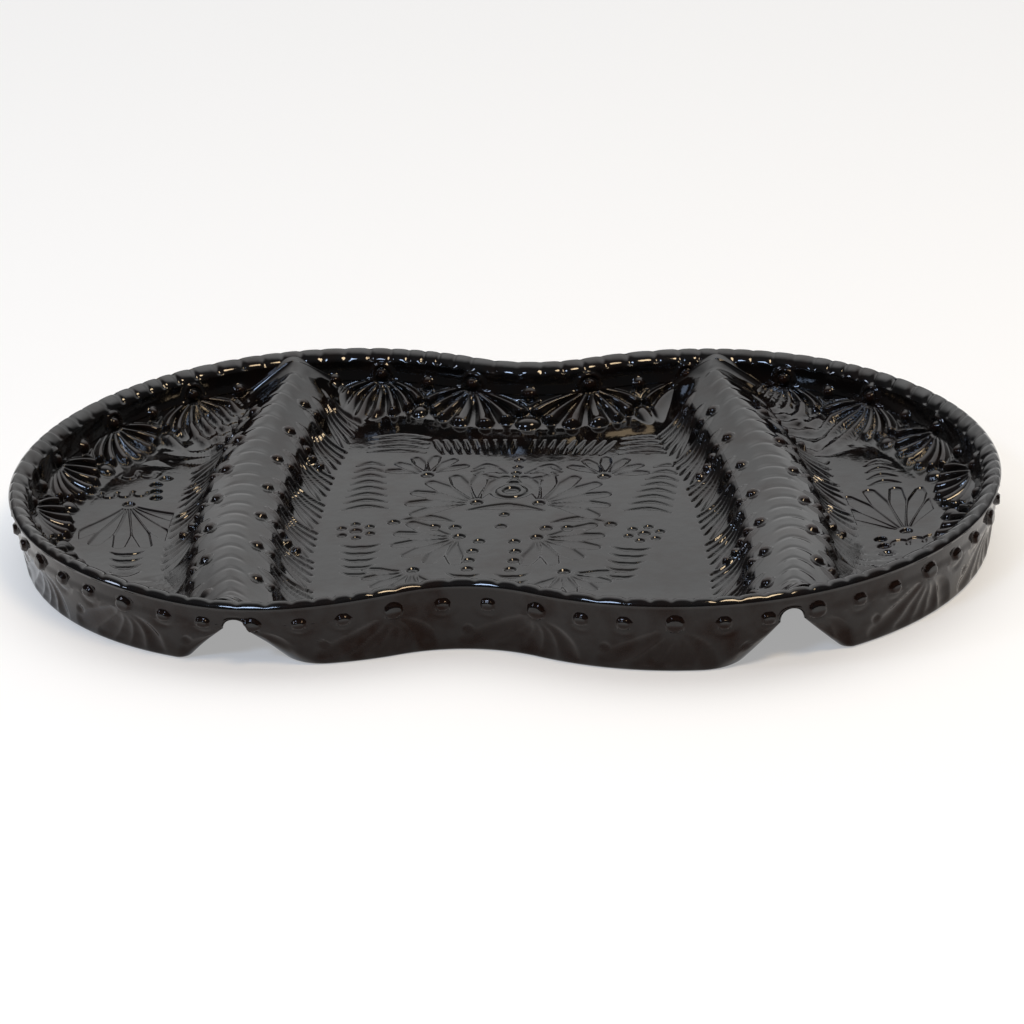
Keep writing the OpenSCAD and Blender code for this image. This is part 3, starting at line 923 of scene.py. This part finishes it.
def rimSection():
    # inset, level and part of the band: -1 outside, 0 to 1 over the lip, 2 inside, 3 below
    section = []
    for z in np.linspace(seat, rim["edgeZ"] - rim["edgeRoom"], grain["band"]):
        groove = rim["groove"] * float(smooth((z - rim["grooveZ"]) / rim["grooveOver"]))
        section.append((wallOutside(z) + groove, z, -1.0))
    turns = np.linspace(0, math.pi / 2, grain["lip"] // 2 + 1)
    crown, height, crownPart = rim["crown"], dish["height"], rim["crownPart"]
    for a in turns[::-1]:
        out, up = roundedEdge(a, rim["chamfer"])
        z = height - (height - rim["edgeZ"]) * (1 - up)
        section.append((crown * (1 - out), z, crownPart * (1 - a / turns[-1])))
    lipWide = bandInside(lipZ) - crown
    for a in turns[1:]:
        out, up = roundedEdge(a, rim["fall"])
        z = lipZ + (height - lipZ) * up
        section.append((crown + lipWide * out, z, crownPart + (1 - crownPart) * a / turns[-1]))
    section += [(bandInside(z), z, 2.0) for z in np.linspace(lipZ, seat, grain["band"] + 1)[1:]]
    steps = (dish["mouthCorner"] * (1 - math.cos(a)) for a in np.radians((90, 60, 40, 20)))
    section += [(seatOut + step, seat, 3.0) for step in steps]
    return np.array(section)


def rimLoop(inset):
    first = runToWaist(inset, 0.0)
    last = (waistTurn - math.pi / 2) * (waistRadius + inset)
    quarter = np.concatenate([
        arc(endCentre, endRadius - inset, 0.0, waistTurn, grain["rimEnd"]),
        outlineAt(inset, 0.0, first + 1e-9 + last * np.linspace(0, 1, grain["rimWaist"] + 1)),
    ])
    half = np.concatenate([quarter[:-1], (quarter * [-1, 1])[::-1][:-1]])
    return np.concatenate([half, -half])


def makeRim(glaze):
    section = rimSection()
    points = np.array([np.c_[rimLoop(inset), np.full(4 * (grain["rimEnd"] + grain["rimWaist"]), z)]
                       for inset, z, _ in section])
    rows, count = points.shape[:2]
    inset = np.repeat(section[:, 0][:, None], count, 1)
    part = np.repeat(section[:, 2][:, None], count, 1)
    onOuter, onInner, onLip = part == -1.0, part == 2.0, (part >= 0) & (part <= 1)
    run, _ = wallPlace(points[..., 0], points[..., 1])
    normals = gridNormals(points, True)
    top = np.argmax(section[:, 1])
    normals *= np.sign(normals[top, 0, 2])
    _, off = alongDivider(points[..., 0], points[..., 1])
    deep = np.clip(1 - (inset - seatOut) / dish["mouthCorner"], 0, 1)
    mouth = tunnelHalf + dish["mouthCorner"] * (1 - np.sqrt(1 - np.where(onOuter, 1.0, deep) ** 2))
    arch = np.sqrt(np.clip(1 - (off / mouth) ** 2, 0, 1))  # the tunnels' round tops
    z = points[..., 2]
    share = np.clip(1 - (z - seat) / rim["archFade"], 0, 1)
    edge = np.clip(1 - (z - seat) / rim["archEdge"], 0, 1) ** 2 * arch * onOuter  # rounds the arch's front
    points = points - normals * edge[..., None] * rim["archEdgeDepth"]
    points[..., 2] = z + divider["archRise"] * arch * share
    down = lipZ - points[..., 2]
    rise = np.where(onInner, carve(run, down, wallRelief), 0.0)
    rise = np.where(onOuter, np.minimum(carve(run, down, outerRelief), inset - rim["room"]), rise)
    nicks = round(wholeRun / rim["nickApart"])
    waves = {n: np.sin(n * math.pi * run / wholeRun) for n in (14, 26, 34, 46)}
    slow, fast = rim["uneven"]
    phase = run / wholeRun * nicks + rim["lay"] * part + (slow * waves[14] + fast * waves[34])
    gap = np.abs(phase - np.round(phase))
    (start, startOver), (end, endOver), (right, rightOver) = rim["swellFrom"], rim["swellTo"], rim["rightEnd"]
    swell = smooth((part - start) / startOver) * smooth((end - part) / endOver)
    swell *= 0.8 + 0.4 * smooth((points[..., 0] - right) / rightOver)
    swell *= 0.7 + 0.3 * waves[46] * waves[26]
    nick = rim["bulge"] * np.cos(2 * math.pi * gap - math.pi)
    nick = nick - rim["nickDepth"] * np.exp(-(gap / rim["nickWide"]) ** 2)
    rise = np.where(onLip, nick * swell - rim["bulge"] * swell, rise)
    points = points + normals * rise[..., None]
    quads = ringFaces(rows, count)
    i = np.arange(count)
    j = (i + 1) % count
    last = (rows - 1) * count
    quads = np.concatenate([quads, np.stack([last + i, i, j, last + j], -1)])
    a, b, c = points.reshape(-1, 3)[quads[top * count][:3]]
    if np.cross(b - a, c - a)[2] < 0:
        quads = quads[:, ::-1]
    creases = np.concatenate([np.arange(count), last + np.arange(count)])
    # on the outside this share is partly painted reflection of a dark brown surface in front
    relief = np.where(onOuter, thinAndPaintedReflectionOutside(rise), rise)
    points, relief = points.reshape(-1, 3), relief.reshape(-1)
    makePiece("rimBand", "rim_band", points, relief, quads, [], creases, glaze)


# Colours are written as sRGB hex values
def linear(colour):
    parts = [int(colour[i:i + 2], 16) / 255 for i in (1, 3, 5)]
    return [p / 12.92 if p <= 0.04045 else ((p + 0.055) / 1.055) ** 2.4 for p in parts] + [1.0]


def emptyTree(owner):
    owner.use_nodes = True
    owner.node_tree.nodes.clear()
    return owner.node_tree


def addNode(tree, kind, settings=None, inputs=None, links=None):
    node = tree.nodes.new(kind)
    for key, value in (settings or {}).items():
        setattr(node, key, value)
    for key, value in (inputs or {}).items():
        node.inputs[key].default_value = value
    for key, source in (links or {}).items():
        tree.links.new(source, node.inputs[key])
    return node


# Stoneware dipped in a glossy iron-black glaze: near black, brown where it runs thin over the relief,
# with the slightly wavy skin that melted glass has
# Partly painted reflection: the outside's brown and dimmed specular stand for a dark brown surface in front
glazeLook = {
    "deep": "#080707", "thin": "#1a100c", "sheenAndPaintedReflection": "#7f6e68",
    "mottleSize": 9.0,  # mm
    "skinSize": 2.6, "skinDepth": 0.3, "skin": 0.12,
    "roughness": 0.06, "roughnessRange": (0.8, 1.5),
    "ridge": (0.25, 1.3, 0.7),  # from which relief to which, and how thin there
    "patch": (0.45, 0.75, 0.5),  # the same for the mottle
}


def blackGlaze():
    look = glazeLook
    material = bpy.data.materials.new("glossy black stoneware glaze")
    tree = emptyTree(material)
    place = addNode(tree, "ShaderNodeTexCoord")
    mottle = addNode(tree, "ShaderNodeTexNoise", None,
                     {"Scale": 1 / (look["mottleSize"] * mm), "Detail": 4.0},
                     {"Vector": place.outputs["Object"]})
    thin = addNode(tree, "ShaderNodeAttribute", {"attribute_name": "relief"})
    low, high, most = look["ridge"]
    ridge = addNode(tree, "ShaderNodeMapRange", None, {"From Min": low, "From Max": high, "To Max": most},
                    {"Value": thin.outputs["Fac"]})
    low, high, most = look["patch"]
    patch = addNode(tree, "ShaderNodeMapRange", None, {"From Min": low, "From Max": high, "To Max": most},
                    {"Value": mottle.outputs["Fac"]})
    share = addNode(tree, "ShaderNodeMath", {"operation": "ADD", "use_clamp": True}, None,
                    {0: ridge.outputs[0], 1: patch.outputs[0]})
    tone = addNode(tree, "ShaderNodeMix", {"data_type": "RGBA"},
                   {6: linear(look["deep"]), 7: linear(look["thin"])},
                   {0: share.outputs[0]})
    skin = addNode(tree, "ShaderNodeTexNoise", None, {"Scale": 1 / (look["skinSize"] * mm), "Detail": 2.0},
                   {"Vector": place.outputs["Object"]})
    bump = addNode(tree, "ShaderNodeBump", None,
                   {"Strength": look["skin"], "Distance": look["skinDepth"] * mm},
                   {"Height": skin.outputs["Fac"]})
    # iron-brown sheen and, in part, painted reflection: dims and browns the specular where the share is high
    sheenAndPaintedReflection = addNode(tree, "ShaderNodeMix", {"data_type": "RGBA"}, {6: (1, 1, 1, 1), 7: linear(look["sheenAndPaintedReflection"])},
                    {0: share.outputs[0]})
    low, high = look["roughnessRange"]
    gloss = addNode(tree, "ShaderNodeMapRange", None,
                    {"To Min": look["roughness"] * low, "To Max": look["roughness"] * high},
                    {"Value": mottle.outputs["Fac"]})
    shader = addNode(tree, "ShaderNodeBsdfPrincipled", None, {"IOR": 1.5},
                     {"Base Color": tone.outputs[2], "Roughness": gloss.outputs[0], "Normal": bump.outputs[0],
                      "Specular Tint": sheenAndPaintedReflection.outputs[2]})
    addNode(tree, "ShaderNodeOutputMaterial", None, None, {"Surface": shader.outputs[0]})
    return material


glaze = blackGlaze()
makeMiddleTray(glaze)
makeEndTray("rightTray", "right_tray", "right", 1.0, glaze)
makeEndTray("leftTray", "left_tray", "left", -1.0, glaze)
makeCrest("rightCrest", "right_crest", "right", 1.0, glaze)
makeCrest("leftCrest", "left_crest", "left", -1.0, glaze)
makeRim(glaze)

# A pale matt board: an even white that keeps the dish's soft shadow
board = {"size": 16.0, "colour": "#f4f4f3", "plain": 0.35, "roughness": 0.8}


def paleBoard():
    material = bpy.data.materials.new("matt white painted board")
    tree = emptyTree(material)
    rays = addNode(tree, "ShaderNodeLightPath")
    added = {"operation": "ADD", "use_clamp": True}
    plain = addNode(tree, "ShaderNodeMath", added, None,
                    {0: rays.outputs["Is Camera Ray"], 1: rays.outputs["Is Glossy Ray"]})
    plain = addNode(tree, "ShaderNodeMath", added, None,
                    {0: plain.outputs[0], 1: rays.outputs["Is Transmission Ray"]})
    seen = addNode(tree, "ShaderNodeMath", {"operation": "MULTIPLY"}, {1: board["plain"]},
                   {0: plain.outputs[0]})
    matt = addNode(tree, "ShaderNodeBsdfPrincipled", None,
                   {"Base Color": linear(board["colour"]), "Roughness": board["roughness"]})
    glow = addNode(tree, "ShaderNodeEmission", None, {"Color": (1, 1, 1, 1), "Strength": 1.0})
    both = addNode(tree, "ShaderNodeMixShader", None, None,
                   {0: seen.outputs[0], 1: matt.outputs[0], 2: glow.outputs[0]})
    addNode(tree, "ShaderNodeOutputMaterial", None, None, {"Surface": both.outputs[0]})
    mesh = bpy.data.meshes.new("board")
    h = board["size"] / 2
    mesh.from_pydata([(-h, -h, 0), (h, -h, 0), (h, h, 0), (-h, h, 0)], [], [(0, 1, 2, 3)])
    mesh.materials.append(material)
    floor = intoScene("board", mesh)


paleBoard()
print("board laid")

# Soft studio: a bright wall behind the dish, a dim room behind the camera, a few small windows
studio = {
    "behind": "#ffffff", "front": "#4d4d4f",
    "aim": (0.0, 0.707, 0.707),  # where the bright wall stands
    "wallFrom": 0.5, "wallTo": 0.85,
    "strength": 0.93, "overhead": 2.1, "ceilingFrom": 0.45, "ceilingTo": 0.85,
}
lamps = {
    "warmWindow": {"turn": 40.0, "height": 60.0, "away": 1.1,
                   "size": (0.36, 0.2), "watts": 4.2, "colour": "#ffe3ba"},
    "coolWindow": {"turn": -26.0, "height": 44.0, "away": 1.2,
                   "size": (0.26, 0.18), "watts": 3.2, "colour": "#c4dcff"},
    "sideWindow": {"turn": -70.0, "height": 30.0, "away": 1.2,
                   "size": (0.15, 0.25), "watts": 1.6, "colour": "#d8e6ff"},
}


def lightStudio():
    world = bpy.data.worlds.new("studio")
    bpy.context.scene.world = world
    tree = emptyTree(world)
    place = addNode(tree, "ShaderNodeTexCoord")
    parts = addNode(tree, "ShaderNodeSeparateXYZ", None, None, {0: place.outputs["Generated"]})
    aim = addNode(tree, "ShaderNodeVectorMath", {"operation": "DOT_PRODUCT"}, {1: studio["aim"]},
                  {0: place.outputs["Generated"]})
    soft = {"interpolation_type": "SMOOTHSTEP"}
    part = addNode(tree, "ShaderNodeMapRange", soft,
                   {"From Min": studio["wallFrom"], "From Max": studio["wallTo"]},
                   {"Value": aim.outputs["Value"]})
    tone = addNode(tree, "ShaderNodeMix", {"data_type": "RGBA"},
                   {6: linear(studio["front"]), 7: linear(studio["behind"])},
                   {0: part.outputs[0]})
    power = addNode(tree, "ShaderNodeMapRange", soft,
                    {"From Min": studio["ceilingFrom"], "From Max": studio["ceilingTo"],
                     "To Min": studio["strength"], "To Max": studio["overhead"]},
                    {"Value": parts.outputs["Z"]})  # brighter towards the ceiling
    sky = addNode(tree, "ShaderNodeBackground", None, None,
                  {"Color": tone.outputs[2], "Strength": power.outputs[0]})
    addNode(tree, "ShaderNodeOutputWorld", None, None, {"Surface": sky.outputs[0]})
    for name, lamp in lamps.items():
        data = bpy.data.lights.new(name, "AREA")
        data.shape = "ELLIPSE"
        data.size, data.size_y = lamp["size"]
        data.energy = lamp["watts"]
        data.color = linear(lamp["colour"])[:3]
        turn, height = math.radians(lamp["turn"]), math.radians(lamp["height"])
        level = math.cos(height)
        spot = Vector((math.sin(turn) * level, -math.cos(turn) * level, math.sin(height)))
        light = intoScene(name, data)
        light.location = spot * lamp["away"]
        light.rotation_euler = (-spot).to_track_quat("-Z", "Y").to_euler()


lightStudio()
print("studio lit")

# The photo's view, fitted to the outline of rim and foot: frame of 1024 pixels
view = {"yaw": -8.234, "elevation": 24.946, "roll": -2.990, "away": 0.9701, "focal": 3404.8,
        "centre": (503.84, 532.83), "frame": 1024}


def setCamera():
    data = bpy.data.cameras.new("camera")
    data.sensor_width = 36.0
    data.sensor_fit = "HORIZONTAL"
    data.lens = view["focal"] / view["frame"] * data.sensor_width
    data.shift_x = 0.5 - view["centre"][0] / view["frame"]
    data.shift_y = view["centre"][1] / view["frame"] - 0.5
    yaw, up, roll = (math.radians(view[k]) for k in ("yaw", "elevation", "roll"))
    spin = Matrix.Rotation(-yaw, 3, "Z")
    right = spin @ Vector((1, 0, 0))
    above = spin @ Vector((0, math.sin(up), math.cos(up)))
    ahead = spin @ Vector((0, math.cos(up), -math.sin(up)))
    across = right * math.cos(roll) + above * math.sin(roll)
    upright = above * math.cos(roll) - right * math.sin(roll)
    turn = Matrix((across, upright, -ahead)).transposed().to_4x4()
    camera = intoScene("camera", data)
    camera.matrix_world = Matrix.Translation(-ahead * view["away"]) @ turn
    bpy.context.scene.camera = camera


setCamera()
bpy.context.scene.view_settings.view_transform = "Standard"
